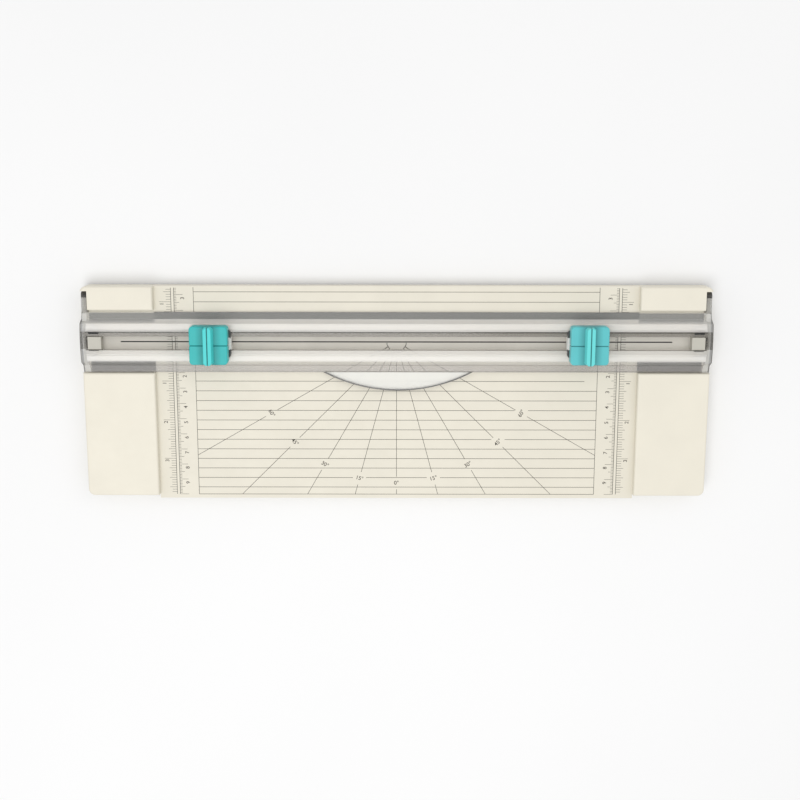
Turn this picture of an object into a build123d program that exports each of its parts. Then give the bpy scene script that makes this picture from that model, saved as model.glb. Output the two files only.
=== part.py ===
from build123d import *

import os

# Rotary paper trimmer with a 12 inch bed, a hinged clear guide rail and two sliding
# carriages: one with a cutting wheel and one with a scoring wheel.
#
# Millimetres. +X runs along the cut to the right, +Y to the back, +Z up. The origin is
# under the middle of the base, on the surface that the feet stand on. Heights whose names
# don't start with BASE are measured from the top of the bed, and distances across the
# rail from the cut line.

os.makedirs("parts", exist_ok=True)

# ---------------------------------------------------------------- driving dimensions

# Base moulding
BASE_WIDTH = 397.4
BASE_DEPTH = 138.0
BASE_FOOT_HEIGHT = 1.5
BASE_BED_TOP = 10.0
BASE_CUT_TO_BACK = 35.5
BASE_CORNER_RADIUS = 4.0
BED_WIDTH = 306.4
BLOCK_RISE = 5.0
BLOCK_SETBACK = 2.8
BLOCK_EDGE_RADIUS = 1.2
WALL = 2.2
CHANNEL_FRONT = 19.45
CHANNEL_BACK = 20.4

# Bottom cover, its screws and the feet
COVER_THICKNESS = 1.5
COVER_GAP = 0.3
SCREW_POSITIONS = [(x, y) for x in (-185.0, -62.0, 62.0, 185.0) for y in (-56.0, 60.0)]
SCREW_SHANK_RADIUS = 1.2
SCREW_HEAD_RADIUS = 2.6
SCREW_LENGTH = 5.2
SCREW_TIP_LENGTH = 0.8
SCREW_DRIVE_RADIUS = 0.7
SCREW_DRIVE_DEPTH = 0.7
SCREW_HOLE_FIT = 0.05
BOSS_RADIUS = 3.2
FOOT_POSITIONS = [(x, y) for x in (-170.0, 0.0, 170.0) for y in (-58.0, 58.0)]
FOOT_RADIUS = 6.0
FOOT_STEM_RADIUS = 2.0
FOOT_EDGE_RADIUS = 0.4

# Cutting mat and its groove
MAT_LENGTH = 376.0
MAT_WIDTH = 14.0
MAT_THICKNESS = 1.5
GROOVE_LENGTH = 350.0
GROOVE_WIDTH = 0.8
GROOVE_DEPTH = 0.9

# Guide rail section, and its length between the end caps
RAIL_LENGTH = 391.6
SLOT_HALF = 4.2
RAIL_TOP = 6.5
LIP_UNDER = 5.0
WEB_INNER = 7.1
WEB_OUTER = 8.5
LAND_OUTER = 12.3
SLOPE_FOOT = 14.8
RAIL_HALF_DEPTH = 19.15
RAIL_WALL = 1.5
FLANGE_BOTTOM = 1.0
FLANGE_TOP = 2.2
BRIDGE_LENGTH = 5.5
BRIDGE_TOP = 2.9

# Finger tab on the rail's front edge
TAB_CENTRE_X = 0.9
TAB_CHORD = 94.4
TAB_REACH = 11.8
TAB_BEAD = 0.9
TAB_BEAD_RISE = 0.6

# Grip strip and rest pads under the rail's flanges
PAD_BOTTOM = 0.4
PAD_INNER = 12.4
PAD_OUTER = 18.3
STRIP_FRONT = 14.5
STRIP_BACK = 19.0

# Rail end caps, with the hinge arms behind them
CAP_CORNER_X = 198.5
CAP_BULGE_X = 199.3
CAP_INNER_CORNER_X = 194.0
HINGE_Y = 29.6
HINGE_Z = 2.2
HINGE_PIN_RADIUS = 1.25
HINGE_BORE_RADIUS = 1.30
ARM_RADIUS = 2.6
ARM_INNER_X = 194.6
ARM_THICKNESS = 3.1
ARM_ROOT_Y = 14.0
NOTCH_INNER_X = 194.2
NOTCH_BACK_Y = 32.6
NOTCH_FLOOR = -3.0

# Stops at the ends of the slot
STOP_FACE_X = 186.1
STOP_FOOT_HALF = 5.2

# Carriages, measured from the middle of each
CUTTER_X = -117.0
SCORER_X = 120.3
SHOE_HALF_LENGTH = 12.9
SHOE_CORNER_RADIUS = 1.2
SHOE_BOTTOM = 1.3
SHOE_FOOT_TOP = 4.7
SHOE_FOOT_HALF = 6.7
SHOE_NECK_HALF = 3.9
SLIDER_BOTTOM = 6.8
SLIDER_FLANGE_TOP = 8.4
SLIDER_HALF = 8.8
SLIDER_CORNER_RADIUS = 2.0
SLIDER_BODY_HALF_LENGTH = 10.1
SLIDER_BODY_CORNER_RADIUS = 1.0
SLIDER_PLATE_BOTTOM = 10.9
SLIDER_PLATE_TOP = 12.4
SLIDER_PLATE_HALF = 10.3
SPRING_Y = 6.5
SPRING_POCKET_RADIUS = 2.2
SPRING_POCKET_FLOOR = 9.4
SPRING_WIRE_RADIUS = 0.25
SPRING_COIL_RADIUS = 1.5
SPRING_TURNS = 5
SPRING_CLEARANCE = 0.1

# Wheels and the holder that carries them
AXLE_HEIGHT = 8.7
AXLE_RADIUS = 1.0
AXLE_HALF_LENGTH = 2.6
AXLE_FIT = 0.02
HUB_RADIUS = 1.8
HUB_BORE_RADIUS = 1.05
HUB_HALF_LENGTH = 0.85
CUTTER_RADIUS = 6.5
CUTTER_THICKNESS = 0.4
CUTTER_EDGE_HALF = 0.03
SCORER_RADIUS = 6.0
SCORER_THICKNESS = 1.2
SCORER_EDGE_HALF = 0.3
WHEEL_BEVEL = 1.2
HOLDER_GAP_HALF = 1.15
HOLDER_HALF = 2.6
HOLDER_HALF_LENGTH = 5.5
HOLDER_BOTTOM = 5.9
HOLDER_FOOT_RADIUS = 2.2
HOLDER_ROOF_BOTTOM = 15.5
HOLDER_ROOF_HALF_LENGTH = 9.0
HOLDER_ROOF_HALF = 4.5
WINDOW_HALF = 2.9
WINDOW_HALF_LENGTH = 7.2
WINDOW_FLOOR = 2.9
WHEEL_SLOT_HALF = 0.9
WHEEL_SLOT_HALF_LENGTH = 6.2

# Press-down head: two half shells and a thumb fin
HEAD_LENGTH = 23.8
HEAD_DEPTH = 24.1
HEAD_CORNER_RADIUS = 2.2
HEAD_BOTTOM = 9.7
HEAD_END_BOTTOM = 11.2
HEAD_TOP = 17.7
HEAD_WALL = 1.5
HEAD_EDGE_RADIUS = 0.8
HEAD_LIP_HALF = 9.1
HEAD_LIP_TOP = 10.6
HEAD_LIP_LENGTH = 16.0
SEAM_CHAMFER = 0.45
FIN_FOOT_HALF = 3.35
FIN_CREST_HALF = 2.5
FIN_LENGTH = 23.6
FIN_CORNER = 1.3
FIN_EDGE_RADIUS = 0.4
FIN_TOP = 22.5
FIN_GROOVE_WIDTH = 0.7
FIN_GROOVE_DEPTH = 1.0
FIN_PEG_RADIUS = 1.5
FIN_PEG_Y = 8.0
PEG_FIT = 0.05

# ------------------------------------------------------------------- worked out

CUT_Y = BASE_DEPTH / 2 - BASE_CUT_TO_BACK
BED_UNDERSIDE = BASE_BED_TOP - WALL
BLOCK_TOP = BASE_BED_TOP + BLOCK_RISE
COVER_TOP = BASE_FOOT_HEIGHT + COVER_THICKNESS
RAIL_END_X = RAIL_LENGTH / 2
HEAD_CEILING = HEAD_TOP - HEAD_WALL
HANDS = ((-1, "left"), (1, "right"))


def level(height, x=0.0):
    """The horizontal plane at this height above the bed, centred on the cut line."""
    return Plane((x, CUT_Y, BASE_BED_TOP + height))


def section(x=0.0):
    """The upright plane across the rail at x, seen with Y to the right and Z up."""
    return Plane((x, CUT_Y, BASE_BED_TOP), x_dir=(0, 1, 0), z_dir=(1, 0, 0))


def lengthwise(x=0.0):
    """The upright plane along the cut, centred on x and seen from the front."""
    return Plane((x, CUT_Y, BASE_BED_TOP), x_dir=(1, 0, 0), z_dir=(0, -1, 0))


def block(x_span, y_span, z_span, mode=Mode.ADD):
    """A box between two corners, given as spans in the plane of the part being built."""
    (x_low, x_high), (y_low, y_high), (z_low, z_high) = sorted(x_span), sorted(y_span), sorted(z_span)
    with Locations(((x_low + x_high) / 2, (y_low + y_high) / 2, (z_low + z_high) / 2)):
        Box(x_high - x_low, y_high - y_low, z_high - z_low, mode=mode)


def bow(side, corner_x, middle_x):
    """The arc in plan across the rail that bounds an end cap, from front to back."""
    return ThreePointArc(
        (side * corner_x, -RAIL_HALF_DEPTH), (side * middle_x, 0), (side * corner_x, RAIL_HALF_DEPTH)
    )


def tab_arc(inset):
    """The finger tab's curved edge in plan, moved in towards the rail by inset."""
    half_chord = TAB_CHORD / 2 - 2 * inset
    return ThreePointArc(
        (-half_chord, -RAIL_HALF_DEPTH),
        (0, -RAIL_HALF_DEPTH - TAB_REACH + inset),
        (half_chord, -RAIL_HALF_DEPTH),
    )


def save(piece, name):
    """Labels a finished piece and writes its STEP file."""
    piece.label = name
    export_step(piece, f"parts/{name}.step")


# --------------------------------------------------------------------- base shell

FRONT_Y = -BASE_DEPTH / 2
BACK_Y = BASE_DEPTH / 2
SIDE_X = BASE_WIDTH / 2
BED_SIDE_X = BED_WIDTH / 2
BLOCK_FRONT_Y = FRONT_Y + BLOCK_SETBACK
BLOCK_DEPTH = BASE_DEPTH - BLOCK_SETBACK
BLOCK_MIDDLE_Y = BLOCK_SETBACK / 2
CHANNEL_FRONT_Y = CUT_Y - CHANNEL_FRONT
CHANNEL_BACK_Y = CUT_Y + CHANNEL_BACK
RIB_HALF = 0.8
RIB_POSITIONS = (-122.0, -92.0, -31.0, 31.0, 92.0, 122.0)
BOSS_LENGTH = 12.0
SCREW_HOLE_DEPTH = 4.0

with BuildPart() as base_shell:
    # Skirt and bed
    with BuildSketch(Plane.XY.offset(BASE_FOOT_HEIGHT)):
        Rectangle(BED_WIDTH, BASE_DEPTH)
        with Locations((0, BLOCK_MIDDLE_Y)):
            RectangleRounded(BASE_WIDTH, BLOCK_DEPTH, BASE_CORNER_RADIUS)
    extrude(amount=BASE_BED_TOP - BASE_FOOT_HEIGHT)

    # Raised blocks at both ends, with the rail's channel across them
    with BuildSketch(Plane.XY.offset(BASE_BED_TOP)):
        with Locations((0, BLOCK_MIDDLE_Y)):
            RectangleRounded(BASE_WIDTH, BLOCK_DEPTH, BASE_CORNER_RADIUS)
        Rectangle(BED_WIDTH, BASE_DEPTH, mode=Mode.SUBTRACT)
        with Locations((0, (CHANNEL_FRONT_Y + CHANNEL_BACK_Y) / 2)):
            Rectangle(BASE_WIDTH, CHANNEL_BACK_Y - CHANNEL_FRONT_Y, mode=Mode.SUBTRACT)
    extrude(amount=BLOCK_RISE)
    fillet(base_shell.faces().group_by(Axis.Z)[-1].edges(), BLOCK_EDGE_RADIUS)

    # Hollow underside
    with BuildSketch(Plane.XY.offset(BASE_FOOT_HEIGHT)):
        Rectangle(BED_WIDTH - 2 * WALL, BASE_DEPTH - 2 * WALL)
        with Locations((0, BLOCK_MIDDLE_Y)):
            Rectangle(BASE_WIDTH - 2 * WALL, BLOCK_DEPTH - 2 * WALL)
    extrude(amount=BED_UNDERSIDE - BASE_FOOT_HEIGHT, mode=Mode.SUBTRACT)
    for side, hand in HANDS:
        pocket_x = (side * (BED_SIDE_X + WALL), side * (SIDE_X - WALL))
        pocket_z = (BED_UNDERSIDE, BLOCK_TOP - WALL)
        block(pocket_x, (BLOCK_FRONT_Y + WALL, CHANNEL_FRONT_Y - WALL), pocket_z, Mode.SUBTRACT)
        block(pocket_x, (CHANNEL_BACK_Y + WALL, BACK_Y - WALL), pocket_z, Mode.SUBTRACT)

    # Thicker floor under the mat, ribs, screw bosses and the hinge corners
    mat_floor = (BASE_BED_TOP - MAT_THICKNESS - WALL, BED_UNDERSIDE)
    mat_floor_y = (CUT_Y - MAT_WIDTH / 2 - WALL, CUT_Y + MAT_WIDTH / 2 + WALL)
    block((-SIDE_X + WALL, SIDE_X - WALL), mat_floor_y, mat_floor)
    rib_y = (FRONT_Y + WALL, BACK_Y - WALL)
    for rib_x in RIB_POSITIONS:
        block((rib_x - RIB_HALF, rib_x + RIB_HALF), rib_y, (COVER_TOP, BED_UNDERSIDE))
    for x, y in SCREW_POSITIONS:
        top = BLOCK_TOP - WALL if abs(x) > BED_SIDE_X else BED_UNDERSIDE
        with Locations((x, y, (COVER_TOP + top) / 2)):
            Cylinder(BOSS_RADIUS, top - COVER_TOP)
    for side, hand in HANDS:
        corner_y = (CHANNEL_BACK_Y, BACK_Y - WALL / 2)
        corner_z = (BASE_BED_TOP + NOTCH_FLOOR - WALL, BLOCK_TOP - WALL)
        block((side * (NOTCH_INNER_X - BOSS_LENGTH), side * (SIDE_X - WALL)), corner_y, corner_z)

    # Recess for the mat, hinge notches, hinge pin holes and screw holes
    block(
        (-MAT_LENGTH / 2, MAT_LENGTH / 2),
        (CUT_Y - MAT_WIDTH / 2, CUT_Y + MAT_WIDTH / 2),
        (BASE_BED_TOP - MAT_THICKNESS, BASE_BED_TOP),
        Mode.SUBTRACT,
    )
    for side, hand in HANDS:
        block(
            (side * NOTCH_INNER_X, side * (SIDE_X + 1)),
            (CHANNEL_BACK_Y - BLOCK_EDGE_RADIUS, CUT_Y + NOTCH_BACK_Y),
            (BASE_BED_TOP + NOTCH_FLOOR, BLOCK_TOP + 1),
            Mode.SUBTRACT,
        )
        with BuildSketch(section(side * NOTCH_INNER_X)):
            with Locations((HINGE_Y, HINGE_Z)):
                Circle(HINGE_PIN_RADIUS)
        extrude(amount=-side * (BOSS_LENGTH - WALL), mode=Mode.SUBTRACT)
    for x, y in SCREW_POSITIONS:
        with BuildSketch(Plane((x, y, COVER_TOP))):
            Circle(SCREW_SHANK_RADIUS + SCREW_HOLE_FIT)
        extrude(amount=SCREW_HOLE_DEPTH, mode=Mode.SUBTRACT)
save(base_shell.part, "base_shell")

# ------------------------------------------------- bottom cover, screws and rubber feet

COVER_INSET = WALL + COVER_GAP
COVER_HOLE_GAP = 0.3
COUNTERSINK_GAP = 0.1
HEAD_CONE_TOP = 1.4

with BuildPart() as bottom_cover:
    with BuildSketch(Plane.XY.offset(BASE_FOOT_HEIGHT)):
        Rectangle(BED_WIDTH - 2 * COVER_INSET, BASE_DEPTH - 2 * COVER_INSET)
        with Locations((0, BLOCK_MIDDLE_Y)):
            Rectangle(BASE_WIDTH - 2 * COVER_INSET, BLOCK_DEPTH - 2 * COVER_INSET)
    extrude(amount=COVER_THICKNESS)
    with Locations(Plane.XY.offset(BASE_FOOT_HEIGHT) * Rotation(180, 0, 0)):
        with Locations([(x, -y) for x, y in SCREW_POSITIONS]):
            CounterSinkHole(
                SCREW_SHANK_RADIUS + COVER_HOLE_GAP, SCREW_HEAD_RADIUS + COUNTERSINK_GAP, COVER_THICKNESS, 90
            )
        with Locations([(x, -y) for x, y in FOOT_POSITIONS]):
            Hole(FOOT_STEM_RADIUS + PEG_FIT, COVER_THICKNESS)
save(bottom_cover.part, "bottom_cover")

with BuildPart() as cover_screws:
    for x, y in SCREW_POSITIONS:
        with BuildSketch(Plane((x, y, BASE_FOOT_HEIGHT), x_dir=(1, 0, 0), z_dir=(0, -1, 0))):
            with BuildLine():
                Polyline(
                    (0, COUNTERSINK_GAP + SCREW_DRIVE_DEPTH),
                    (SCREW_DRIVE_RADIUS, COUNTERSINK_GAP),
                    (SCREW_HEAD_RADIUS - COUNTERSINK_GAP, COUNTERSINK_GAP),
                    (SCREW_SHANK_RADIUS, HEAD_CONE_TOP),
                    (SCREW_SHANK_RADIUS, SCREW_LENGTH - SCREW_TIP_LENGTH),
                    (0, SCREW_LENGTH),
                    close=True,
                )
            make_face()
        revolve(axis=Axis((x, y, 0), (0, 0, 1)))
save(cover_screws.part, "cover_screws")

with BuildPart() as rubber_feet:
    for x, y in FOOT_POSITIONS:
        with Locations((x, y, BASE_FOOT_HEIGHT / 2)):
            Cylinder(FOOT_RADIUS, BASE_FOOT_HEIGHT)
        with Locations((x, y, BASE_FOOT_HEIGHT + COVER_THICKNESS / 2)):
            Cylinder(FOOT_STEM_RADIUS, COVER_THICKNESS)
    fillet(rubber_feet.faces().group_by(Axis.Z)[0].edges(), FOOT_EDGE_RADIUS)
save(rubber_feet.part, "rubber_feet")

# --------------------------------------------------------------------- cutting mat

with BuildPart() as cutting_mat:
    with BuildSketch(level(-MAT_THICKNESS)):
        Rectangle(MAT_LENGTH, MAT_WIDTH)
    extrude(amount=MAT_THICKNESS)
    with BuildSketch(level(0)):
        Rectangle(GROOVE_LENGTH, GROOVE_WIDTH)
    extrude(amount=-GROOVE_DEPTH, mode=Mode.SUBTRACT)
save(cutting_mat.part, "cutting_mat")

# --------------------------------------------------------------------- hinge pins

PIN_LENGTH = 12.5
PIN_CHAMFER = 0.25

for side, hand in HANDS:
    with BuildPart() as hinge_pin:
        with BuildSketch(section(side * (NOTCH_INNER_X - BOSS_LENGTH + WALL))):
            with Locations((HINGE_Y, HINGE_Z)):
                Circle(HINGE_PIN_RADIUS)
        extrude(amount=side * PIN_LENGTH)
        chamfer(hinge_pin.edges(), PIN_CHAMFER)
    save(hinge_pin.part, f"hinge_pin_{hand}")

# --------------------------------------------------------------------- guide rail

CREST_RADIUS = 0.5
RAIL_OUTLINE = [
    (-RAIL_HALF_DEPTH, FLANGE_BOTTOM),
    (-RAIL_HALF_DEPTH, FLANGE_TOP),
    (-SLOPE_FOOT, FLANGE_TOP),
    (-LAND_OUTER, RAIL_TOP),
    (LAND_OUTER, RAIL_TOP),
    (SLOPE_FOOT, FLANGE_TOP),
    (RAIL_HALF_DEPTH, FLANGE_TOP),
    (RAIL_HALF_DEPTH, FLANGE_BOTTOM),
]

with BuildPart() as rail:
    # One half of the section, from the slot's edge outwards, and its mirror image
    with BuildSketch(section()):
        with BuildLine():
            Polyline(
                (SLOT_HALF, LIP_UNDER),
                (SLOT_HALF, RAIL_TOP),
                (LAND_OUTER, RAIL_TOP),
                (SLOPE_FOOT, FLANGE_TOP),
                (RAIL_HALF_DEPTH, FLANGE_TOP),
                (RAIL_HALF_DEPTH, FLANGE_BOTTOM),
                (SLOPE_FOOT - RAIL_WALL, FLANGE_BOTTOM),
                (LAND_OUTER - RAIL_WALL, LIP_UNDER),
                (WEB_OUTER, LIP_UNDER),
                (WEB_OUTER, FLANGE_BOTTOM),
                (WEB_INNER, FLANGE_BOTTOM),
                (WEB_INNER, LIP_UNDER),
                close=True,
            )
        make_face()
        mirror(about=Plane.YZ)
    extrude(amount=RAIL_LENGTH / 2, both=True)
    long_edges = rail.edges().filter_by(Axis.X)
    crest = long_edges.filter_by(lambda edge: abs(edge.center().Z - BASE_BED_TOP - RAIL_TOP) < 0.01)
    fillet(crest, CREST_RADIUS)

    # A bridge at each end joins the two halves below the slot, and the ends are bowed
    for side, hand in HANDS:
        with Locations(level(0)):
            block(
                (side * (RAIL_END_X - BRIDGE_LENGTH), side * RAIL_END_X),
                (-WEB_OUTER, WEB_OUTER),
                (FLANGE_BOTTOM, BRIDGE_TOP),
            )
        with BuildSketch(level(0)):
            with BuildLine():
                joint = bow(side, CAP_INNER_CORNER_X, RAIL_END_X)
                Polyline(
                    joint @ 1,
                    (side * CAP_CORNER_X, RAIL_HALF_DEPTH),
                    (side * CAP_CORNER_X, -RAIL_HALF_DEPTH),
                    joint @ 0,
                )
            make_face()
        extrude(amount=RAIL_TOP, mode=Mode.SUBTRACT)

    # Finger tab: a flat segment of a circle with a raised bead along its curved edge
    with BuildSketch(level(FLANGE_BOTTOM, TAB_CENTRE_X)):
        with BuildLine():
            tab_edge = tab_arc(0)
            Polyline(
                tab_edge @ 1,
                (TAB_CHORD / 2, -RAIL_HALF_DEPTH + 1),
                (-TAB_CHORD / 2, -RAIL_HALF_DEPTH + 1),
                tab_edge @ 0,
            )
        make_face()
    extrude(amount=FLANGE_TOP - FLANGE_BOTTOM)
    with BuildSketch(level(FLANGE_TOP, TAB_CENTRE_X)):
        with BuildLine():
            bead_edge = tab_arc(0)
            inner_edge = tab_arc(TAB_BEAD)
            Line(bead_edge @ 0, inner_edge @ 0)
            Line(bead_edge @ 1, inner_edge @ 1)
        make_face()
    extrude(amount=TAB_BEAD_RISE)
save(rail.part, "guide_rail")

# ------------------------------------- strip and pads bonded under the rail's flanges

with BuildPart(level(0)) as grip_strip:
    block((-BED_SIDE_X, BED_SIDE_X), (STRIP_FRONT, STRIP_BACK), (PAD_BOTTOM, FLANGE_BOTTOM))
save(grip_strip.part, "rail_grip_strip")

with BuildPart(level(0)) as rest_pads:
    for side, hand in HANDS:
        for across in (-1, 1):
            block(
                (side * BED_SIDE_X, side * CAP_INNER_CORNER_X),
                (across * PAD_INNER, across * PAD_OUTER),
                (PAD_BOTTOM, FLANGE_BOTTOM),
            )
save(rest_pads.part, "rail_rest_pads")

# --------------------------------------------- end caps with hinge arms, and end stops

TONGUE_LENGTH = 7.0
TONGUE_GAP = 0.2
STOP_GAP = 1.4
STOP_NECK_TOP = RAIL_TOP - 0.1

for side, hand in HANDS:
    with BuildPart() as end_cap:
        # Bowed cap, trimmed to the rail's outline
        with BuildSketch(level(FLANGE_BOTTOM)):
            with BuildLine():
                outer = bow(side, CAP_CORNER_X, CAP_BULGE_X)
                inner = bow(side, CAP_INNER_CORNER_X, RAIL_END_X)
                Line(outer @ 0, inner @ 0)
                Line(outer @ 1, inner @ 1)
            make_face()
        extrude(amount=RAIL_TOP - FLANGE_BOTTOM)
        with BuildSketch(section()):
            Polygon(*RAIL_OUTLINE, align=None)
        extrude(amount=CAP_BULGE_X + 1, both=True, mode=Mode.INTERSECT)

        # Tongues that plug into the rail's hollow sides
        with Locations(level(0)):
            for across in (-1, 1):
                block(
                    (side * (RAIL_END_X - TONGUE_LENGTH), side * RAIL_END_X),
                    (across * (WEB_OUTER + TONGUE_GAP), across * (LAND_OUTER - RAIL_WALL - TONGUE_GAP)),
                    (FLANGE_BOTTOM + TONGUE_GAP, LIP_UNDER - TONGUE_GAP),
                )

        # Hinge arm
        with BuildSketch(section(side * ARM_INNER_X)):
            Polygon(
                (ARM_ROOT_Y, FLANGE_BOTTOM),
                (HINGE_Y, HINGE_Z - ARM_RADIUS),
                (HINGE_Y, HINGE_Z + ARM_RADIUS),
                (ARM_ROOT_Y, RAIL_TOP - 1),
                align=None,
            )
            with Locations((HINGE_Y, HINGE_Z)):
                Circle(ARM_RADIUS)
                Circle(HINGE_BORE_RADIUS, mode=Mode.SUBTRACT)
        extrude(amount=side * ARM_THICKNESS)
    save(end_cap.part, f"rail_end_cap_{hand}")

    with BuildPart(level(0)) as end_stop:
        stop_x = (side * STOP_FACE_X, side * (RAIL_END_X - STOP_GAP))
        nose_x = (side * STOP_FACE_X, side * (RAIL_END_X - BRIDGE_LENGTH))
        foot_y = (-STOP_FOOT_HALF, STOP_FOOT_HALF)
        block(stop_x, (-SHOE_NECK_HALF, SHOE_NECK_HALF), (SHOE_FOOT_TOP, STOP_NECK_TOP))
        block(stop_x, foot_y, (BRIDGE_TOP, SHOE_FOOT_TOP))
        block(nose_x, foot_y, (SHOE_BOTTOM, BRIDGE_TOP))
    save(end_stop.part, f"rail_end_stop_{hand}")

# --------------------------------------------------------------------- carriages


def make_glide_shoe(name, x):
    """The white runner: a foot under the rail's lips, and a neck through its slot."""
    with BuildPart(level(0, x)) as shoe:
        length = (-SHOE_HALF_LENGTH, SHOE_HALF_LENGTH)
        block(length, (-SHOE_FOOT_HALF, SHOE_FOOT_HALF), (SHOE_BOTTOM, SHOE_FOOT_TOP))
        block(length, (-SHOE_NECK_HALF, SHOE_NECK_HALF), (SHOE_FOOT_TOP, SLIDER_FLANGE_TOP))
        fillet(shoe.edges().filter_by(Axis.Z), SHOE_CORNER_RADIUS)
        block(
            (-WINDOW_HALF_LENGTH, WINDOW_HALF_LENGTH),
            (-WINDOW_HALF, WINDOW_HALF),
            (WINDOW_FLOOR, SLIDER_FLANGE_TOP),
            Mode.SUBTRACT,
        )
        block(
            (-WHEEL_SLOT_HALF_LENGTH, WHEEL_SLOT_HALF_LENGTH),
            (-WHEEL_SLOT_HALF, WHEEL_SLOT_HALF),
            (SHOE_BOTTOM, WINDOW_FLOOR),
            Mode.SUBTRACT,
        )
    save(shoe.part, f"{name}_glide_shoe")


def make_slider(name, x):
    """The dark body on top of the rail, with spring pockets and a window for the wheel."""
    with BuildPart() as slider:
        with BuildSketch(level(SLIDER_BOTTOM, x)):
            RectangleRounded(2 * SHOE_HALF_LENGTH, 2 * SLIDER_HALF, SLIDER_CORNER_RADIUS)
            Rectangle(2 * SHOE_HALF_LENGTH, 2 * SHOE_NECK_HALF, mode=Mode.SUBTRACT)
        extrude(amount=SLIDER_FLANGE_TOP - SLIDER_BOTTOM)
        with BuildSketch(level(SLIDER_FLANGE_TOP, x)):
            RectangleRounded(2 * SLIDER_BODY_HALF_LENGTH, 2 * SLIDER_HALF, SLIDER_BODY_CORNER_RADIUS)
        extrude(amount=SLIDER_PLATE_BOTTOM - SLIDER_FLANGE_TOP)
        with BuildSketch(level(SLIDER_PLATE_BOTTOM, x)):
            RectangleRounded(2 * SLIDER_BODY_HALF_LENGTH, 2 * SLIDER_PLATE_HALF, SLIDER_BODY_CORNER_RADIUS)
        extrude(amount=SLIDER_PLATE_TOP - SLIDER_PLATE_BOTTOM)
        with BuildSketch(level(SLIDER_PLATE_TOP, x)):
            Rectangle(2 * WINDOW_HALF_LENGTH, 2 * WINDOW_HALF)
        extrude(amount=SLIDER_FLANGE_TOP - SLIDER_PLATE_TOP, mode=Mode.SUBTRACT)
        with BuildSketch(level(SLIDER_PLATE_TOP, x)):
            with Locations((0, -SPRING_Y), (0, SPRING_Y)):
                Circle(SPRING_POCKET_RADIUS)
        extrude(amount=SPRING_POCKET_FLOOR - SLIDER_PLATE_TOP, mode=Mode.SUBTRACT)
    save(slider.part, f"{name}_slider")


def make_springs(name, x):
    """Two coil springs between the slider's pockets and the head's ceiling."""
    bottom = SPRING_POCKET_FLOOR + SPRING_WIRE_RADIUS
    height = HEAD_CEILING - SPRING_WIRE_RADIUS - SPRING_CLEARANCE - bottom
    with BuildPart() as springs:
        for across in (-1, 1):
            with BuildLine(Plane((x, CUT_Y + across * SPRING_Y, BASE_BED_TOP + bottom))):
                coil = Helix(pitch=height / SPRING_TURNS, height=height, radius=SPRING_COIL_RADIUS)
            with BuildSketch(Plane(origin=coil @ 0, z_dir=coil % 0)):
                Circle(SPRING_WIRE_RADIUS)
            sweep(path=coil)
    save(springs.part, f"{name}_springs")


def make_wheel_holder(name, x):
    """The fork that carries the axle, with a roof plate fixed under the head's ceiling."""
    with BuildPart(level(0, x)) as holder:
        length = (-HOLDER_HALF_LENGTH, HOLDER_HALF_LENGTH)
        cheek_z = (HOLDER_BOTTOM, HOLDER_ROOF_BOTTOM)
        for across in (-1, 1):
            block(length, (across * HOLDER_GAP_HALF, across * HOLDER_HALF), cheek_z)
        fillet(holder.edges().filter_by(Axis.Y).group_by(Axis.Z)[0], HOLDER_FOOT_RADIUS)
        block(
            (-HOLDER_ROOF_HALF_LENGTH, HOLDER_ROOF_HALF_LENGTH),
            (-HOLDER_ROOF_HALF, HOLDER_ROOF_HALF),
            (HOLDER_ROOF_BOTTOM, HEAD_CEILING),
        )
        with BuildSketch(lengthwise(x)):
            with Locations((0, AXLE_HEIGHT)):
                Circle(AXLE_RADIUS + AXLE_FIT)
        extrude(amount=HOLDER_HALF, both=True, mode=Mode.SUBTRACT)
    save(holder.part, f"{name}_wheel_holder")


def make_shells(name, x):
    """The two halves of the head, split along the cut line, with lips under the slider's plate."""
    for across, end in ((-1, "front"), (1, "back")):
        with BuildPart() as shell:
            with BuildSketch(level(HEAD_BOTTOM, x)):
                RectangleRounded(HEAD_LENGTH, HEAD_DEPTH, HEAD_CORNER_RADIUS)
            extrude(amount=HEAD_TOP - HEAD_BOTTOM)
            fillet(shell.faces().sort_by(Axis.Z)[-1].edges(), HEAD_EDGE_RADIUS)
            with BuildSketch(level(HEAD_BOTTOM, x)):
                RectangleRounded(
                    HEAD_LENGTH - 2 * HEAD_WALL, HEAD_DEPTH - 2 * HEAD_WALL, HEAD_CORNER_RADIUS - HEAD_WALL
                )
            extrude(amount=HEAD_CEILING - HEAD_BOTTOM, mode=Mode.SUBTRACT)

            # The other half, the low ends, and a V along the seam
            with Locations(level(0, x)):
                whole_length = (-HEAD_LENGTH / 2, HEAD_LENGTH / 2)
                block(whole_length, (0, -across * HEAD_DEPTH / 2), (HEAD_BOTTOM, HEAD_TOP), Mode.SUBTRACT)
                block(
                    whole_length,
                    (-HEAD_LIP_HALF, HEAD_LIP_HALF),
                    (HEAD_BOTTOM, HEAD_END_BOTTOM),
                    Mode.SUBTRACT,
                )
                block(
                    (-HEAD_LIP_LENGTH / 2, HEAD_LIP_LENGTH / 2),
                    (across * HEAD_LIP_HALF, across * (HEAD_DEPTH / 2 - HEAD_WALL)),
                    (HEAD_BOTTOM, HEAD_LIP_TOP),
                )
            seam = shell.edges().filter_by(Axis.X).group_by(Axis.Z)[-1]
            chamfer(seam.sort_by(Axis.Y)[0 if across > 0 else -1], SEAM_CHAMFER)

            # Socket for the thumb fin's peg
            with BuildSketch(level(HEAD_TOP, x)):
                with Locations((0, across * FIN_PEG_Y)):
                    Circle(FIN_PEG_RADIUS + PEG_FIT)
            extrude(amount=-HEAD_WALL, mode=Mode.SUBTRACT)
        save(shell.part, f"{name}_shell_{end}")


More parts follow.
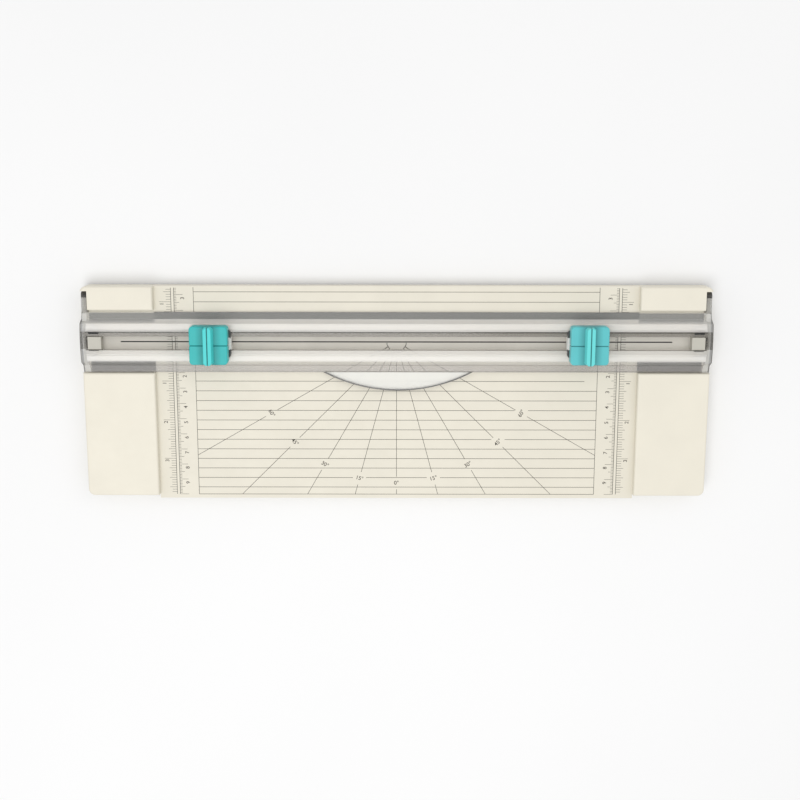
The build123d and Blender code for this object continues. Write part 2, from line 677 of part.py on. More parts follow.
def make_thumb_fin(name, x):
    """The upright fin that the thumb and finger hold, with a groove along its crest."""
    with BuildPart() as fin:
        with BuildSketch(lengthwise(x)):
            Polygon(
                (-FIN_FOOT_HALF, HEAD_TOP),
                (FIN_FOOT_HALF, HEAD_TOP),
                (FIN_CREST_HALF, FIN_TOP),
                (-FIN_CREST_HALF, FIN_TOP),
                align=None,
            )
        extrude(amount=FIN_LENGTH / 2, both=True)
        upright = [edge for edge in fin.edges() if abs(edge.tangent_at(0.5).Z) > 0.5]
        chamfer(upright, FIN_CORNER)
        fillet(fin.faces().sort_by(Axis.Z)[-1].edges(), FIN_EDGE_RADIUS)
        with BuildSketch(level(FIN_TOP, x)):
            Rectangle(FIN_GROOVE_WIDTH, FIN_LENGTH)
        extrude(amount=-FIN_GROOVE_DEPTH, mode=Mode.SUBTRACT)
        with BuildSketch(level(HEAD_TOP, x)):
            with Locations((0, -FIN_PEG_Y), (0, FIN_PEG_Y)):
                Circle(FIN_PEG_RADIUS)
        extrude(amount=-HEAD_WALL)
    save(fin.part, f"{name}_thumb_fin")


def make_axle_and_hub(name, x):
    """The fixed steel axle, and the bush that turns on it."""
    with BuildPart() as axle:
        with BuildSketch(lengthwise(x)):
            with Locations((0, AXLE_HEIGHT)):
                Circle(AXLE_RADIUS)
        extrude(amount=AXLE_HALF_LENGTH, both=True)
    save(axle.part, f"{name}_axle")

    with BuildPart() as hub:
        with BuildSketch(lengthwise(x)):
            with Locations((0, AXLE_HEIGHT)):
                Circle(HUB_RADIUS)
                Circle(HUB_BORE_RADIUS, mode=Mode.SUBTRACT)
        extrude(amount=HUB_HALF_LENGTH, both=True)
    save(hub.part, f"{name}_hub")


def make_wheel(name, x, radius, thickness, edge_half):
    """A disc on the hub, whose rim narrows to edge_half each side of the cut line."""
    with BuildPart() as wheel:
        with BuildSketch(section(x)):
            with BuildLine():
                Polyline(
                    (-thickness / 2, AXLE_HEIGHT + HUB_RADIUS),
                    (-thickness / 2, AXLE_HEIGHT + radius - WHEEL_BEVEL),
                    (-edge_half, AXLE_HEIGHT + radius),
                    (edge_half, AXLE_HEIGHT + radius),
                    (thickness / 2, AXLE_HEIGHT + radius - WHEEL_BEVEL),
                    (thickness / 2, AXLE_HEIGHT + HUB_RADIUS),
                    close=True,
                )
            make_face()
        revolve(axis=Axis((x, CUT_Y, BASE_BED_TOP + AXLE_HEIGHT), (0, 1, 0)))
    save(wheel.part, f"{name}_wheel")


for name, x in (("cutter", CUTTER_X), ("scorer", SCORER_X)):
    make_glide_shoe(name, x)
    make_slider(name, x)
    make_springs(name, x)
    make_wheel_holder(name, x)
    make_shells(name, x)
    make_thumb_fin(name, x)
    make_axle_and_hub(name, x)
make_wheel("cutter", CUTTER_X, CUTTER_RADIUS, CUTTER_THICKNESS, CUTTER_EDGE_HALF)
make_wheel("scorer", SCORER_X, SCORER_RADIUS, SCORER_THICKNESS, SCORER_EDGE_HALF)
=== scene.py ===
import math

import bmesh
import bpy
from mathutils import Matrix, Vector


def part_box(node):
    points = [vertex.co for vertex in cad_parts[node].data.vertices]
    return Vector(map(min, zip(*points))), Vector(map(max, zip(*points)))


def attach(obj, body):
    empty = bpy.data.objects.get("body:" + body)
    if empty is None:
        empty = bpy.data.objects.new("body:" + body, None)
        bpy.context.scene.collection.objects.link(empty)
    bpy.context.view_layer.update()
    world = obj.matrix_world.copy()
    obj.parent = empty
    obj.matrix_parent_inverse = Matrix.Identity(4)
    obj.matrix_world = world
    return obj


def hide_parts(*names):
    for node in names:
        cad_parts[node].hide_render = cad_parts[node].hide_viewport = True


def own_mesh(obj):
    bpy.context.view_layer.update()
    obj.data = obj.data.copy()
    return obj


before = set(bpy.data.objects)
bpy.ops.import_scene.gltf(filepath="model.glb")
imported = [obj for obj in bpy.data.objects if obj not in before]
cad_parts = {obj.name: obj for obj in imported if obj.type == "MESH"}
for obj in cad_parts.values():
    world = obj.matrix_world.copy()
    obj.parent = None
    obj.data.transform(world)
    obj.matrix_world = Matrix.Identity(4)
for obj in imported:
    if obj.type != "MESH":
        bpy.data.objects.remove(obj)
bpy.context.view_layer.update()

# Looks for the rotary paper trimmer. Lengths are in metres unless a name or a comment says
# millimetres. Printed marks are placed in millimetres from the middle of the cut line: x to
# the right along the cut, y to the back.

MM = 0.001

mat_low, mat_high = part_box("cutting_mat")
_, shell_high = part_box("base_shell")
CUT_Y = (mat_low.y + mat_high.y) / 2
BED_Z = mat_high.z
BED_BACK_MM = (shell_high.y - CUT_Y) / MM


def on_bed(x_mm, y_mm, lift_mm=0.0):
    """A point on the bed, from millimetres off the middle of the cut line."""
    return Vector((x_mm * MM, CUT_Y + y_mm * MM, BED_Z + lift_mm * MM))


# ------------------------------------------------------------------- camera and light

CAMERA_HEIGHT_MM = 783.0
CAMERA_BACK_MM = 119.42
CAMERA_RIGHT_MM = 2.03
CAMERA_TILT = math.radians(11.3375)
CAMERA_ROLL = math.radians(0.0756)
CAMERA_LENS_MM = 56.107
CAMERA_SENSOR_MM = 36.0
WORLD_STRENGTH = 0.78
# Each light is (name, place, diameter, watts), and points at the origin.
LIGHTS = (
    ("key", (-0.25, -0.35, 1.35), 0.9, 6.6),
    ("fill", (0.7, 0.5, 1.1), 1.0, 1.5),
)


def add_camera():
    data = bpy.data.cameras.new("camera")
    data.lens = CAMERA_LENS_MM
    data.sensor_width = CAMERA_SENSOR_MM
    data.clip_start = 0.01
    camera = bpy.data.objects.new("camera", data)
    camera.location = on_bed(CAMERA_RIGHT_MM, CAMERA_BACK_MM, CAMERA_HEIGHT_MM)
    camera.rotation_euler = (-CAMERA_TILT, 0.0, CAMERA_ROLL)
    bpy.context.collection.objects.link(camera)
    bpy.context.scene.camera = camera


def add_area_light(name, location, size, watts):
    data = bpy.data.lights.new(name, "AREA")
    data.shape = "DISK"
    data.size = size
    data.energy = watts
    light = bpy.data.objects.new(name, data)
    light.location = location
    light.rotation_euler = (-light.location).to_track_quat("-Z", "Y").to_euler()
    bpy.context.collection.objects.link(light)


def add_studio():
    world = bpy.data.worlds.new("studio")
    world.use_nodes = True
    background = world.node_tree.nodes["Background"]
    background.inputs["Color"].default_value = (1.0, 1.0, 1.0, 1.0)
    background.inputs["Strength"].default_value = WORLD_STRENGTH
    bpy.context.scene.world = world
    bpy.context.scene.view_settings.view_transform = "Standard"
    for light in LIGHTS:
        add_area_light(*light)


# ------------------------------------------------------------------------- materials


class Shader:
    """A new node material with a Principled shader, and short ways to add nodes."""

    def __init__(self, name):
        self.material = bpy.data.materials.new(name)
        self.material.use_nodes = True
        self.nodes = self.material.node_tree.nodes
        self.links = self.material.node_tree.links
        self.surface = self.nodes["Principled BSDF"]
        self.place = self.nodes.new("ShaderNodeTexCoord").outputs["Object"]

    def set(self, **values):
        for name, value in values.items():
            self.surface.inputs[name].default_value = value

    def link(self, output, name):
        self.links.new(output, self.surface.inputs[name])

    def noise(self, per_m, detail, stretch=None):
        """Noise over the object's own coordinates, with features 1 / per_m metres across."""
        node = self.nodes.new("ShaderNodeTexNoise")
        node.inputs["Scale"].default_value = per_m
        node.inputs["Detail"].default_value = detail
        place = self.place
        if stretch:
            mapping = self.nodes.new("ShaderNodeMapping")
            mapping.inputs["Scale"].default_value = stretch
            self.links.new(place, mapping.inputs["Vector"])
            place = mapping.outputs["Vector"]
        self.links.new(place, node.inputs["Vector"])
        return node.outputs["Fac"]

    def spread(self, value, low, high, from_low=0.3, from_high=0.7):
        """Maps a noise value onto a range of numbers."""
        node = self.nodes.new("ShaderNodeMapRange")
        node.inputs["From Min"].default_value = from_low
        node.inputs["From Max"].default_value = from_high
        node.inputs["To Min"].default_value = low
        node.inputs["To Max"].default_value = high
        self.links.new(value, node.inputs["Value"])
        return node.outputs["Result"]

    def blend(self, factor, first, second):
        """A colour between two, given as RGB or as another node's output."""
        node = self.nodes.new("ShaderNodeMix")
        node.data_type = "RGBA"
        self.links.new(factor, node.inputs["Factor"])
        for socket, colour in (("A", first), ("B", second)):
            target = [s for s in node.inputs if s.name == socket and s.type == "RGBA"][0]
            if isinstance(colour, tuple):
                target.default_value = (*colour, 1.0)
            else:
                self.links.new(colour, target)
        return [s for s in node.outputs if s.type == "RGBA"][0]

    def along(self, axis):
        """The place along X, Y or Z in metres."""
        node = self.nodes.new("ShaderNodeSeparateXYZ")
        self.links.new(self.place, node.inputs["Vector"])
        return node.outputs[axis]

    def maths(self, operation, first, second=0.0, clamp=False):
        """One step of arithmetic on two values. The second may be a plain number."""
        node = self.nodes.new("ShaderNodeMath")
        node.operation = operation
        node.use_clamp = clamp
        self.links.new(first, node.inputs[0])
        if isinstance(second, float):
            node.inputs[1].default_value = second
        else:
            self.links.new(second, node.inputs[1])
        return node.outputs["Value"]

    def outside(self, centre, radius):
        """1 further than radius from the upright line through centre (x, y), and 0 nearer."""
        squares = []
        for axis, middle in zip("XY", centre):
            offset = self.maths("SUBTRACT", self.along(axis), middle)
            squares.append(self.maths("MULTIPLY", offset, offset))
        square = self.maths("ADD", *squares)
        return self.maths("GREATER_THAN", square, radius * radius)

    def darken(self, tint, axis, centre, near_mm, far_mm, factor):
        """Darkens a colour to this factor near a plane across an axis, fading out further off."""
        offset = self.maths("ABSOLUTE", self.maths("SUBTRACT", self.along(axis), centre))
        strength = self.spread(offset, factor, 1.0, near_mm * MM, far_mm * MM)
        return self.blend(strength, (0.0, 0.0, 0.0), tint)

    def bump(self, height, strength, depth_mm):
        node = self.nodes.new("ShaderNodeBump")
        node.inputs["Strength"].default_value = strength
        node.inputs["Distance"].default_value = depth_mm * MM
        self.links.new(height, node.inputs["Height"])
        self.link(node.outputs["Normal"], "Normal")


def linear(red, green, blue):
    """An sRGB colour of 0 to 255 as linear values."""
    scaled = [value / 255 for value in (red, green, blue)]
    return tuple(v / 12.92 if v < 0.04045 else ((v + 0.055) / 1.055) ** 2.4 for v in scaled)


def shade(colour, factor):
    return tuple(channel * factor for channel in colour)


MOTTLE_PER_M = 45
GLOSS_PER_M = 260
GLOSS_SPREAD = 0.05
GRAIN_STRENGTH = 0.35


def moulded_plastic(
    name, colour, roughness, grain_per_m=3500, grain_depth_mm=0.02, mottle=0.02, marks=(), gloss=0.5
):
    """Injection-moulded plastic: a fine spark-eroded grain and faint uneven colour and gloss.

    Each mark darkens the plastic near a plane: (axis, place, near_mm, far_mm, factor).
    """
    shader = Shader(name)
    tone = shader.spread(shader.noise(MOTTLE_PER_M, detail=4.0), 0.0, 1.0)
    tint = shader.blend(tone, shade(colour, 1 - mottle), shade(colour, 1 + mottle))
    for mark in marks:
        tint = shader.darken(tint, *mark)
    shader.link(tint, "Base Color")
    uneven = shader.noise(GLOSS_PER_M, detail=2.0)
    shader.link(shader.spread(uneven, roughness - GLOSS_SPREAD, roughness + GLOSS_SPREAD), "Roughness")
    shader.bump(shader.noise(grain_per_m, detail=2.0), GRAIN_STRENGTH, grain_depth_mm)
    shader.set(**{"Specular IOR Level": gloss})
    return shader.material


def ink(name, colour):
    """Pad-printed ink, a little uneven in density."""
    shader = Shader(name)
    tone = shader.spread(shader.noise(per_m=1800, detail=2.0), 0.0, 1.0)
    shader.link(shader.blend(tone, shade(colour, 0.85), shade(colour, 1.15)), "Base Color")
    shader.set(Roughness=0.6)
    return shader.material


def steel(name, colour, roughness, per_m, stretch):
    """Ground or drawn steel, with fine scratches along one direction."""
    shader = Shader(name)
    grain = shader.noise(per_m, detail=4.0, stretch=stretch)
    shader.link(shader.blend(grain, shade(colour, 0.8), shade(colour, 1.1)), "Base Color")
    shader.link(shader.spread(grain, roughness - 0.08, roughness + 0.1), "Roughness")
    shader.set(Metallic=1.0)
    shader.bump(grain, strength=0.2, depth_mm=0.01)
    return shader.material


def foam(name, colour):
    shader = Shader(name)
    cells = shader.noise(per_m=1500, detail=4.0)
    shader.link(shader.blend(cells, shade(colour, 0.8), shade(colour, 1.15)), "Base Color")
    shader.set(Roughness=0.9)
    shader.bump(cells, strength=0.5, depth_mm=0.08)
    return shader.material


def clear_acrylic(name, bands, rim):
    """Clear moulded acrylic with painted shade and a painted reflection in bands along the rail, and a
    faint flow pattern.

    Each band is (where it starts in mm off the cut line, its sRGB colour, and how much each
    of its walls hides). The rim is (x, y, radius, y_limit) in mm: past this arc, and in front
    of y_limit, the moulding's outer edge is painted dark as painted shade.
    """
    shader = Shader(name)
    ramp = shader.nodes.new("ShaderNodeValToRGB")
    ramp.color_ramp.interpolation = "CONSTANT"
    stops = ramp.color_ramp.elements
    while len(stops) < len(bands):
        stops.new(0.5)
    for stop, (start, colour, cover) in zip(stops, bands):
        stop.position = (start - BANDS_FRONT_MM) / (BANDS_BACK_MM - BANDS_FRONT_MM)
        stop.color = (*linear(*colour), cover)
    along_y = shader.along("Y")
    front, back = CUT_Y + BANDS_FRONT_MM * MM, CUT_Y + BANDS_BACK_MM * MM
    shader.links.new(shader.spread(along_y, 0.0, 1.0, front, back), ramp.inputs["Fac"])
    # Painted shade: past the rim arc and in front of y_limit the edge is drawn dark.
    x, y, radius, y_limit = [value * MM for value in rim]
    past_arc = shader.outside((x, CUT_Y + y), radius)
    before_limit = shader.maths("LESS_THAN", along_y, CUT_Y + y_limit)
    in_painted_edge_shade = shader.maths("MULTIPLY", past_arc, before_limit)
    shader.link(shader.blend(in_painted_edge_shade, ramp.outputs["Color"], linear(*PAINTED_EDGE_SHADE_COLOUR)), "Base Color")
    shader.link(shader.maths("ADD", in_painted_edge_shade, ramp.outputs["Alpha"], clamp=True), "Alpha")
    flow = shader.noise(per_m=30, detail=3.0, stretch=(0.2, 6.0, 6.0))
    shader.link(shader.spread(flow, low=0.08, high=0.2), "Roughness")
    shader.set(IOR=ACRYLIC_IOR)
    return shader.material


ACRYLIC_IOR = 1.49
# Painted shade for the dark outer edge of the clear mouldings.
PAINTED_EDGE_SHADE_COLOUR = (84, 82, 78)
# The bands and rims of the clear mouldings are in millimetres, as clear_acrylic says.
BANDS_FRONT_MM, BANDS_BACK_MM = -32.0, 36.0
# The rail's dark bands are painted shade on its lips, web and flange edges; its white front band is a
# painted reflection of the white surroundings.
RAIL_PAINTED_BANDS = (
    (-32.0, (255, 255, 251), 0.42),
    (-19.4, (150, 147, 143), 0.45),
    (-18.7, (196, 192, 190), 0.30),
    (-15.0, (160, 157, 153), 0.40),
    (-14.6, (226, 224, 221), 0.24),
    (-11.8, (255, 253, 249), 0.42),
    (-7.1, (240, 237, 231), 0.34),
    (-4.7, (132, 128, 120), 0.45),
    (4.2, (138, 134, 126), 0.58),
    (6.5, (72, 69, 62), 0.75),
    (7.2, (255, 252, 247), 0.44),
    (12.3, (246, 245, 243), 0.32),
    (14.9, (225, 224, 221), 0.16),
)
RAIL_PAINTED_EDGE_RIM = (0.9, 69.35, 99.5, -19.2)
# The caps' grey bands are painted shade, and the darkest band is a painted shadow in the notch behind the
# hinge arm.
CAP_PAINTED_BANDS = (
    (-32.0, (236, 236, 234), 0.32),
    (-3.9, (140, 138, 133), 0.45),
    (7.1, (236, 236, 234), 0.32),
    (18.6, (158, 157, 153), 0.50),
    (28.3, (62, 60, 56), 0.80),
)
CAP_PAINTED_EDGE_RIM = (-30.3, 0.0, 229.15, 19.2)
# Marks on the plastics, as moulded_plastic says.
# Painted shade: the mat is darkened deep in its cut groove, below the bed.
MAT_GROOVE_SHADE = ("Z", BED_Z - 0.9 * MM, 0.6, 0.8, 0.04)
# The bed's top is drawn a little darker than the raised end blocks.
BED_DARKENING = ("Z", BED_Z, 0.3, 1.2, 0.955)
CREAM = (0.765, 0.724, 0.617)

paints = {
    "base": moulded_plastic("cream_abs", CREAM, 0.5, marks=[BED_DARKENING]),
    "cover": moulded_plastic("cream_abs_matt", shade(CREAM, 0.9), 0.62),
    "mat": moulded_plastic(
        "taupe_mat",
        (0.62, 0.59, 0.53),
        0.55,
        grain_per_m=2500,
        grain_depth_mm=0.03,
        mottle=0.04,
        marks=[MAT_GROOVE_SHADE],
    ),
    "steel": steel("drawn_steel", (0.35, 0.35, 0.36), 0.3, per_m=900, stretch=(0.15, 1.0, 1.0)),
    "wheel": steel("ground_steel", (0.55, 0.55, 0.56), 0.2, per_m=1400, stretch=(1.0, 0.2, 1.0)),
    "rubber": moulded_plastic(
        "black_rubber", (0.02, 0.02, 0.02), 0.75, grain_per_m=1800, grain_depth_mm=0.05, mottle=0.1
    ),
    # The grey foam of the grip strip and rest pads is partly painted shade: its dark grey stands for
    # shade under the clear rail's flanges.
    "foam": foam("grey_foam_and_painted_shade", linear(140, 140, 136)),
    "stop": moulded_plastic("grey_stop", linear(186, 183, 172), 0.45),
    "dark": moulded_plastic("dark_acetal", linear(70, 74, 74), 0.4),
    "white": moulded_plastic("white_acetal", linear(236, 236, 232), 0.3),
    "rail": clear_acrylic("clear_rail", RAIL_PAINTED_BANDS, RAIL_PAINTED_EDGE_RIM),
    "cap_left": clear_acrylic("clear_cap_left", CAP_PAINTED_BANDS, (-CAP_PAINTED_EDGE_RIM[0], *CAP_PAINTED_EDGE_RIM[1:])),
    "cap_right": clear_acrylic("clear_cap_right", CAP_PAINTED_BANDS, CAP_PAINTED_EDGE_RIM),
    "ink": ink("grey_ink", linear(66, 61, 52)),
}

finishes = {
    "base_shell": "base",
    "bottom_cover": "cover",
    "cover_screws": "steel",
    "rubber_feet": "rubber",
    "cutting_mat": "mat",
    "hinge_pin_left": "steel",
    "hinge_pin_right": "steel",
    "guide_rail": "rail",
    "rail_grip_strip": "foam",
    "rail_rest_pads": "foam",
    "rail_end_cap_left": "cap_left",
    "rail_end_cap_right": "cap_right",
    "rail_end_stop_left": "stop",
    "rail_end_stop_right": "stop",
}
TEAL_LOOK = {"grain_per_m": 3000, "grain_depth_mm": 0.015, "mottle": 0.03, "gloss": 0.2}
TEAL_ROUGHNESS = 0.35
# The last three values of a mark: near_mm, far_mm and factor.
# Painted shade: the shell is darkened beside the fin, where shade falls in the corner.
SHADE_BESIDE_FIN = (3.4, 8.0, 0.66)
SHELL_SEAM = (0.16, 0.30, 0.45)
# Painted shade: the fin is darkened along its middle groove.
FIN_GROOVE_SHADE = (0.30, 0.42, 0.45)
CARRIAGE_COLOURS = {"cutter": (61, 180, 179), "scorer": (97, 190, 194)}
FIN_COLOURS = {"cutter": (81, 207, 206), "scorer": (107, 213, 212)}
carriage_finishes = {
    "glide_shoe": "white",
    "slider": "dark",
    "springs": "steel",
    "wheel_holder": "white",
    "shell_front": "shell",
    "shell_back": "shell",
    "thumb_fin": "fin",
    "axle": "steel",
    "hub": "dark",
}
for carriage in ("cutter", "scorer"):
    fin_low, fin_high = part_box(f"{carriage}_thumb_fin")
    fin_x = (fin_low.x + fin_high.x) / 2
    shell_marks = [("X", fin_x, *SHADE_BESIDE_FIN), ("Y", CUT_Y, *SHELL_SEAM)]
    fin_marks = [("X", fin_x, *FIN_GROOVE_SHADE)]
    shell_colour = linear(*CARRIAGE_COLOURS[carriage])
    fin_colour = linear(*FIN_COLOURS[carriage])
    paints[f"{carriage}_shell"] = moulded_plastic(
        f"{carriage}_shell_abs", shell_colour, TEAL_ROUGHNESS, marks=shell_marks, **TEAL_LOOK
    )
    paints[f"{carriage}_fin"] = moulded_plastic(
        f"{carriage}_fin_abs", fin_colour, TEAL_ROUGHNESS, marks=fin_marks, **TEAL_LOOK
    )
    for piece, finish in carriage_finishes.items():
        finishes[f"{carriage}_{piece}"] = f"{carriage}_{finish}" if finish in ("shell", "fin") else finish
finishes["cutter_wheel"] = "wheel"
finishes["scorer_wheel"] = "white"


def paint_cad_nodes():
    for node, finish in finishes.items():
        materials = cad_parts[node].data.materials
        materials.clear()
        materials.append(paints[finish])


# --------------------------------------------------------------------- printed marks

INK_LIFT_MM = 0.03
INCH_MM = 25.4
GRID_WIDTH_MM = 0.28
MARGIN_X_MM = 128.1
MARGIN_BACK_GAP_MM = 0.9
FRONT_LINE_MM = -100.0
BACK_LINES_MM = (INCH_MM, 1.25 * INCH_MM)
GRID_STEP_MM = INCH_MM / 4
GRID_ROWS = 12
SHORT_LINE_END_MM = 120.0
RAY_ANGLES = (-60, -45, -30, -15, 0, 15, 30, 45, 60)
LABEL_RADIUS_MM = 92.5
LABEL_GAP_MM = 4.3
LABEL_HEIGHT_MM = 3.6
LABEL_CLEARANCE_LEFT_MM, LABEL_CLEARANCE_RIGHT_MM = 1.0, 2.0
LETTER_SWELL_MM = 0.03
SMALLEST_SLANT = 0.001
RAY_START_MM = 4.6
MARK_WIDTH_MM = 0.42
# The strokes of the mark at each side of the middle, in millimetres.
CENTRE_MARK = ((4.2, -4.6), (5.4, -2.9), (7.6, -4.6), (5.4, -2.9), (6.1, -1.6), (6.1, -0.6))


class Print:
    """Flat printed marks gathered into one mesh just above the bed."""

    def __init__(self, name):
        self.name = name
        self.points = []
        self.faces = []

    def add(self, corners):
        first = len(self.points)
        self.points += [on_bed(x, y, INK_LIFT_MM) for x, y in corners]
        self.faces.append(range(first, first + len(corners)))

    def line(self, start, end, width):
        along = (Vector(end) - Vector(start)).normalized() * width / 2
        side = Vector((-along.y, along.x))
        start, end = Vector(start), Vector(end)
        self.add([start - side, end - side, end + side, start + side])

    def text(self, words, centre, turn, height):
        """Words centred on a point, turned anticlockwise from reading along +x."""
        curve = bpy.data.curves.new("words", "FONT")
        curve.body = words
        curve.size = height
        curve.align_x = "CENTER"
        curve.align_y = "CENTER"
        curve.offset = LETTER_SWELL_MM
        carrier = bpy.data.objects.new("words", curve)
        mesh = bpy.data.meshes.new_from_object(carrier)
        cosine, sine = math.cos(turn), math.sin(turn)
        for polygon in mesh.polygons:
            corners = [mesh.vertices[index].co for index in polygon.vertices]
            self.add(
                [
                    (centre[0] + cosine * c.x - sine * c.y, centre[1] + sine * c.x + cosine * c.y)
                    for c in corners
                ]
            )
        bpy.data.objects.remove(carrier)
        bpy.data.curves.remove(curve)
        bpy.data.meshes.remove(mesh)

    def finish(self):
        mesh = bpy.data.meshes.new(self.name)
        mesh.from_pydata(self.points, [], [tuple(face) for face in self.faces])
        mesh.materials.append(paints["ink"])
        piece = bpy.data.objects.new(self.name, mesh)
        bpy.context.collection.objects.link(piece)
        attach(piece, "base")


def label_centre(degrees):
    turn = math.radians(degrees)
    return Vector((LABEL_RADIUS_MM * math.sin(turn), -LABEL_RADIUS_MM * math.cos(turn)))


def print_grid():
    """Quarter-inch lines between two margins, broken at each slanted ray's label."""
    grid = Print("bed_grid_print")
    rows = [-INCH_MM - GRID_STEP_MM * row for row in range(GRID_ROWS)]
    for y in (*rows, FRONT_LINE_MM, *BACK_LINES_MM):
        starts = [-MARGIN_X_MM]
        ends = []
        for degrees in RAY_ANGLES:
            label = label_centre(degrees)
            clearance = LABEL_CLEARANCE_RIGHT_MM if degrees > 0 else LABEL_CLEARANCE_LEFT_MM
            if degrees != 0 and abs(label.y - y) < clearance:
                ends.append(label.x - LABEL_GAP_MM)
                starts.append(label.x + LABEL_GAP_MM)
        ends.append(SHORT_LINE_END_MM if y == -INCH_MM else MARGIN_X_MM)
        for start, end in zip(starts, ends):
            grid.line((start, y), (end, y), GRID_WIDTH_MM)
    for side in (-1, 1):
        x = side * MARGIN_X_MM
        grid.line((x, FRONT_LINE_MM), (x, BED_BACK_MM - MARGIN_BACK_GAP_MM), GRID_WIDTH_MM)
    grid.finish()


def print_angles():
    """Rays from the middle of the cut line, each with its angle in degrees."""
    rays = Print("angle_ray_print")
    for degrees in RAY_ANGLES:
        turn = math.radians(degrees)
        ray = Vector((math.sin(turn), -math.cos(turn)))
        reach = min(FRONT_LINE_MM / ray.y, MARGIN_X_MM / max(abs(ray.x), SMALLEST_SLANT))
        rays.line(ray * (RAY_START_MM / -ray.y), ray * (LABEL_RADIUS_MM - LABEL_GAP_MM), GRID_WIDTH_MM)
        rays.line(ray * (LABEL_RADIUS_MM + LABEL_GAP_MM), ray * reach, GRID_WIDTH_MM)
        rays.text(f"{abs(degrees)}°", label_centre(degrees), turn, LABEL_HEIGHT_MM)
    for side in (-1, 1):
        for start, end in zip(CENTRE_MARK, CENTRE_MARK[1:]):
            rays.line((side * start[0], start[1]), (side * end[0], end[1]), MARK_WIDTH_MM)
    rays.finish()


RULER_BACK_GAP_MM = 1.2
INCH_SCALE_X_MM, CM_SCALE_X_MM = 142.35, 140.4
SCALE_WIDTH_MM, TICK_WIDTH_MM = 0.3, 0.2
TICKS_PER_INCH = 16
# Each kind of tick is (every how many ticks, its length in millimetres), the longest first.
INCH_TICKS = ((16, 7.3), (4, 4.6), (1, 3.1))
CM_TICKS = ((10, 5.6), (5, 3.3), (1, 1.6))
INCH_DIGITS = (1, -1, -2, -3)
CM_DIGITS = (3, 2, 1, -1, -2, -3, -4, -5, -6, -7, -8, -9)
INCH_DIGIT_X_MM, CM_DIGIT_X_MM = 148.0, 135.0
INCH_DIGIT_DROP_MM, CM_DIGIT_DROP_MM = 1.4, 2.3
DIGIT_HEIGHT_MM = 3.4


def tick_length(count, ticks):
    return next(length for every, length in ticks if count % every == 0)


def print_ruler(side, hand):
    """An inch scale with ticks outwards and a centimetre scale with ticks inwards."""
    ruler = Print(f"ruler_print_{hand}")
    back = BED_BACK_MM - RULER_BACK_GAP_MM
    inch_x, cm_x = side * INCH_SCALE_X_MM, side * CM_SCALE_X_MM
    for x in (inch_x, cm_x):
        ruler.line((x, FRONT_LINE_MM), (x, back), SCALE_WIDTH_MM)
    first_tick = math.ceil(FRONT_LINE_MM / INCH_MM * TICKS_PER_INCH)
    last_tick = int(back / INCH_MM * TICKS_PER_INCH)
    for tick in range(first_tick, last_tick + 1):
        y = tick * INCH_MM / TICKS_PER_INCH
        tip_x = inch_x + side * tick_length(tick, INCH_TICKS)
        ruler.line((inch_x, y), (tip_x, y), TICK_WIDTH_MM)
    for millimetre in range(int(FRONT_LINE_MM), int(back) + 1):
        tip_x = cm_x - side * tick_length(millimetre, CM_TICKS)
        ruler.line((cm_x, millimetre), (tip_x, millimetre), TICK_WIDTH_MM)
    quarter_turn = math.pi / 2
    for inches in INCH_DIGITS:
        centre = (side * INCH_DIGIT_X_MM, inches * INCH_MM - INCH_DIGIT_DROP_MM)
        ruler.text(str(abs(inches)), centre, quarter_turn, DIGIT_HEIGHT_MM)
    for centimetres in CM_DIGITS:
        centre = (side * CM_DIGIT_X_MM, centimetres * 10 - CM_DIGIT_DROP_MM)
        ruler.text(str(abs(centimetres)), centre, quarter_turn, DIGIT_HEIGHT_MM)
    ruler.finish()


# ------------------------------------------------------------------- painted shadow strips at the end stops

# Black strips put on the rail as painted shadow: they stand for the dark gaps beside each end stop.
SHADOW_STRIP_X_MM, SHADOW_STRIP_LENGTH_MM, SHADOW_STRIP_HEIGHT_MM = 190.6, 6.4, 0.5
# Each strip is (its middle off the cut line, its depth from front to back).
SHADOW_STRIPS_MM = ((6.3, 0.9), (-4.7, 0.3))
SHADOW_STRIP_EDGE_MM = 0.06
RAIL_TOP_MM = 6.5


def add_stop_buffer(side, hand):
    """Two black strips on top of the rail beside an end stop, with rounded edges: painted shadow of the
    gaps at the stop.
    """
    mesh = bpy.data.meshes.new(f"end_stop_shadow_strip_{hand}")
    shape = bmesh.new()
    for middle_y, depth in SHADOW_STRIPS_MM:
        size = Vector((SHADOW_STRIP_LENGTH_MM, depth, SHADOW_STRIP_HEIGHT_MM)) * MM
        centre = on_bed(side * SHADOW_STRIP_X_MM, middle_y, RAIL_TOP_MM + SHADOW_STRIP_HEIGHT_MM / 2)
        strip = bmesh.ops.create_cube(shape, size=1.0)["verts"]
        for vertex in strip:
            vertex.co = Vector(c * s for c, s in zip(vertex.co, size)) + centre
        edges = {edge for vertex in strip for edge in vertex.link_edges}
        bmesh.ops.bevel(
            shape, geom=list(edges), offset=SHADOW_STRIP_EDGE_MM * MM, segments=2, affect="EDGES", profile=0.5
        )
    shape.to_mesh(mesh)
    shape.free()
    mesh.materials.append(paints["rubber"])
    shadow_strip_piece = bpy.data.objects.new(mesh.name, mesh)
    bpy.context.collection.objects.link(shadow_strip_piece)
    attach(shadow_strip_piece, "rail")


# --------------------------------------------------------------------------- springs

SPRING_WIRE_MM = 0.25
SPRING_TURNS = 5
SPRING_STEPS_PER_TURN = 20


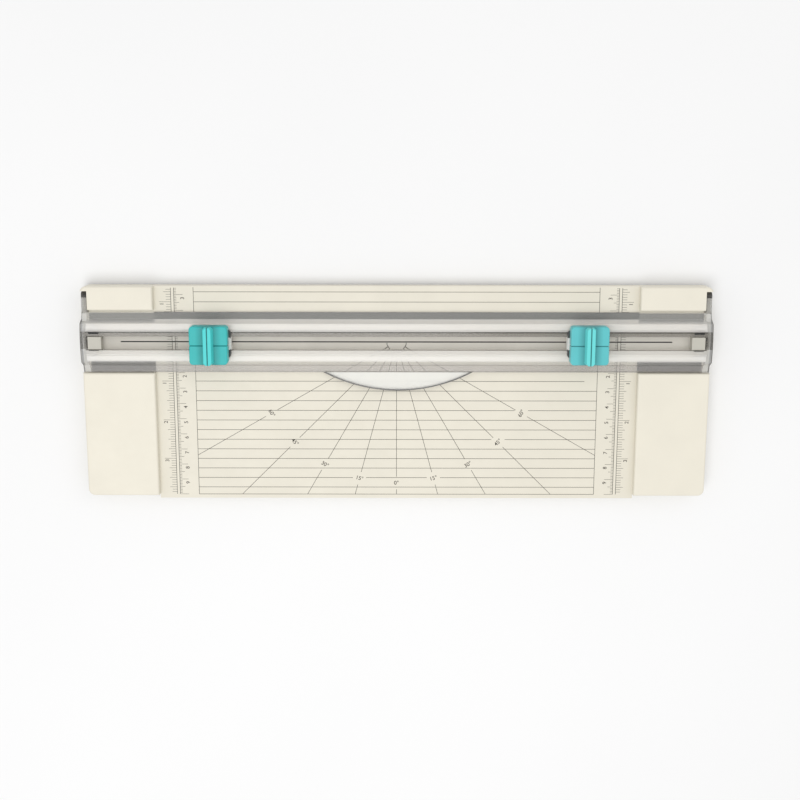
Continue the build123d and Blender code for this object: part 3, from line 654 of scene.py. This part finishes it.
def add_springs(carriage):
    """The carriage's two coil springs again, as one piece that moves with the slider."""
    low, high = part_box(f"{carriage}_springs")
    wire = SPRING_WIRE_MM * MM
    outer = (high.x - low.x) / 2
    name = f"{carriage}_coil_springs"
    curve = bpy.data.curves.new(name, "CURVE")
    curve.dimensions = "3D"
    curve.bevel_depth = wire
    curve.bevel_resolution = 2
    curve.use_fill_caps = True
    bottom, top = low.z + wire, high.z - wire
    steps = SPRING_TURNS * SPRING_STEPS_PER_TURN
    for middle_y in (low.y + outer, high.y - outer):
        coil = curve.splines.new("POLY")
        coil.points.add(steps)
        for step, point in enumerate(coil.points):
            angle = math.tau * step / SPRING_STEPS_PER_TURN
            x = (low.x + high.x) / 2 + (outer - wire) * math.cos(angle)
            y = middle_y + (outer - wire) * math.sin(angle)
            point.co = (x, y, bottom + (top - bottom) * step / steps, 1.0)
    carrier = bpy.data.objects.new(name, curve)
    mesh = bpy.data.meshes.new_from_object(carrier)
    bpy.data.objects.remove(carrier)
    bpy.data.curves.remove(curve)
    mesh.name = name
    mesh.materials.clear()
    mesh.materials.append(paints["steel"])
    springs = bpy.data.objects.new(name, mesh)
    bpy.context.collection.objects.link(springs)
    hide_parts(f"{carriage}_springs")
    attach(springs, f"{carriage}_slider")
    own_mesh(springs)


# -------------------------------------------------------------------------- staging

FLOOR_HALF = 6.0
FLOOR_TONES = (0.855, 0.875)


def add_floor():
    mesh = bpy.data.meshes.new("floor")
    half = FLOOR_HALF
    mesh.from_pydata(
        [(-half, -half, 0), (half, -half, 0), (half, half, 0), (-half, half, 0)], [], [(0, 1, 2, 3)]
    )
    shader = Shader("white_sweep")
    tone = shader.spread(shader.noise(per_m=3, detail=2.0), 0.0, 1.0)
    darker, lighter = [(value, value, value) for value in FLOOR_TONES]
    shader.link(shader.blend(tone, darker, lighter), "Base Color")
    shader.set(Roughness=0.9)
    mesh.materials.append(shader.material)
    floor = bpy.data.objects.new("floor", mesh)
    bpy.context.collection.objects.link(floor)


add_camera()
add_studio()
add_floor()
paint_cad_nodes()
print_grid()
print_angles()
for side, hand in ((-1, "left"), (1, "right")):
    print_ruler(side, hand)
    add_stop_buffer(side, hand)
for carriage in ("cutter", "scorer"):
    add_springs(carriage)
